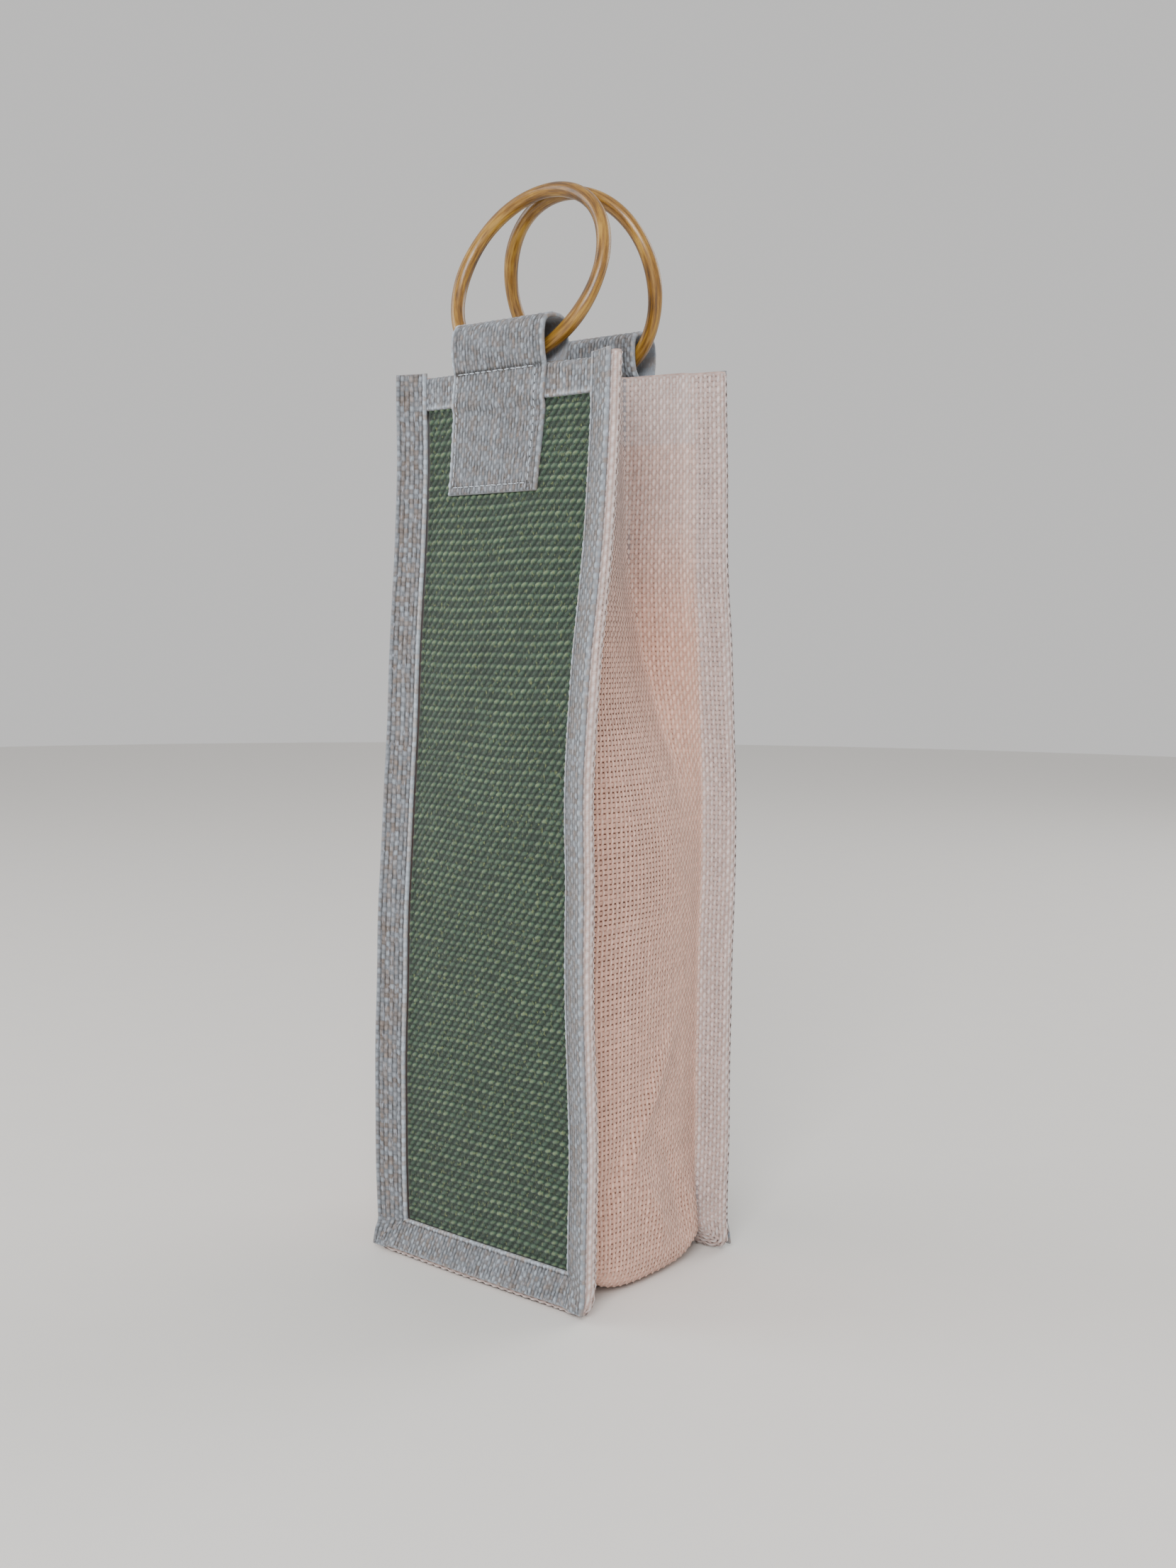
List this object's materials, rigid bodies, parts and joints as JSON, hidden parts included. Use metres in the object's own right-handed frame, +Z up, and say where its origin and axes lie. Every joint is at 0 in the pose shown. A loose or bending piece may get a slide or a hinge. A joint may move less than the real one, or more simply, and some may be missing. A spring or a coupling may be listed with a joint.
{
  "type": "jute bottle bag with ring handles",
  "caption": "Tall narrow jute bag for one bottle, with woven panels, a pinched gusset and hinged cane rings for handles.",
  "frame": {"origin": "on the floor, under the middle of the bag", "axes": "+X across the front panel from left to right, +Y from the front panel to the back panel, +Z up"},
  "size_m": [0.1184, 0.0992, 0.4331],
  "materials": {
    "green_jute": "coarse woven jute, dyed green",
    "natural_jute": "open plain-woven natural jute with a thin film behind it",
    "natural_tape": "dense woven natural jute tape",
    "tab_cloth": "dense woven natural jute, stitched",
    "cane": "varnished cane"
  },
  "bodies": {
    "bag": {"front_panel": "green_jute", "back_panel": "green_jute", "gusset": "natural_jute", "front_binding": "natural_tape", "back_binding": "natural_tape", "front_top_band": "natural_tape", "back_top_band": "natural_tape", "front_tab": "tab_cloth", "back_tab": "tab_cloth"},
    "front_handle": {"front_ring": "cane"},
    "back_handle": {"back_ring": "cane"}
  },
  "joints": [
    {"name": "front_ring_swing", "type": "hinge", "parent": "bag", "child": "front_handle", "pos_m": [-0.003, -0.0259, 0.3612], "axis": [1, 0, 0], "range_deg": [0, 32]},
    {"name": "back_ring_swing", "type": "hinge", "parent": "bag", "child": "back_handle", "pos_m": [-0.0008, 0.0271, 0.3612], "axis": [-1, 0, 0], "range_deg": [0, 32]}
  ]
}
